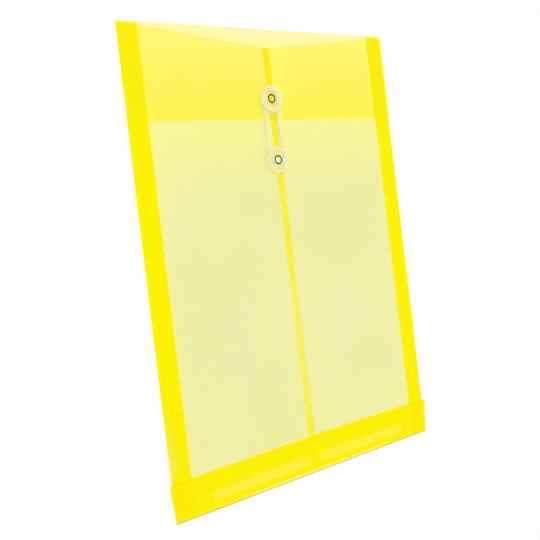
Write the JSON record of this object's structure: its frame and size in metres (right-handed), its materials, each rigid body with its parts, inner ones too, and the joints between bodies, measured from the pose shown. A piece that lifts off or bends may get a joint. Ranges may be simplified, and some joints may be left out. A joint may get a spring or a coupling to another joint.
{
  "type": "string tie envelope",
  "caption": "Portrait document envelope of translucent yellow film with side gussets, a turned-up hem and a fold-over flap closed by a string loop round disc buttons.",
  "frame": {"origin": "middle of the envelope on the plane that its back lies on", "axes": "+X across the width to the viewer's right, +Y towards the flap fold, +Z out of the front"},
  "size_m": [0.244, 0.33, 0.0059],
  "materials": {
    "panel_film": "translucent film, satin",
    "folded_film": "translucent film in several plies, satin",
    "flap_film": "translucent film, satin",
    "milky_button": "milky moulded plastic, satin",
    "eyelet_metal": "dark plated metal, rolled",
    "clear_string": "clear cord, glossy"
  },
  "bodies": {
    "pocket_back": {"back_panel": "panel_film", "gusset_left_back_ply": "folded_film", "gusset_right_back_ply": "folded_film", "pocket_foot": "folded_film", "bottom_hem": "folded_film", "flap_crease": "folded_film"},
    "pocket_front": {"front_left_panel": "panel_film", "front_right_panel": "panel_film", "gusset_left_front_ply": "folded_film", "gusset_right_front_ply": "folded_film", "front_eyelet": "eyelet_metal"},
    "flap_leaf": {"flap": "flap_film", "flap_eyelet": "eyelet_metal", "string": "clear_string"},
    "flap_disc": {"flap_button": "milky_button"},
    "front_disc": {"front_button": "milky_button"}
  },
  "joints": [
    {"name": "flap_fold", "type": "hinge", "parent": "pocket_back", "child": "flap_leaf", "pos_m": [0, 0.164, 0.001], "axis": [-1, 0, 0], "range_deg": [0, 172], "deforming": ["flap_crease", "string"]},
    {"name": "mouth_gape", "type": "hinge", "parent": "pocket_back", "child": "pocket_front", "pos_m": [0, -0.1378, 0.001], "axis": [1, 0, 0], "range_deg": [0, 1.5]},
    {"name": "flap_button_spin", "type": "hinge", "parent": "flap_leaf", "child": "flap_disc", "pos_m": [-0.00345, 0.1131, 0], "axis": [0, 0, 1], "continuous": true},
    {"name": "front_button_spin", "type": "hinge", "parent": "pocket_front", "child": "front_disc", "pos_m": [-0.00345, 0.0681, 0], "axis": [0, 0, 1], "continuous": true}
  ],
  "couplings": [
    {"joint": "mouth_gape", "follows": "flap_fold", "ratio": 0.0085}
  ]
}
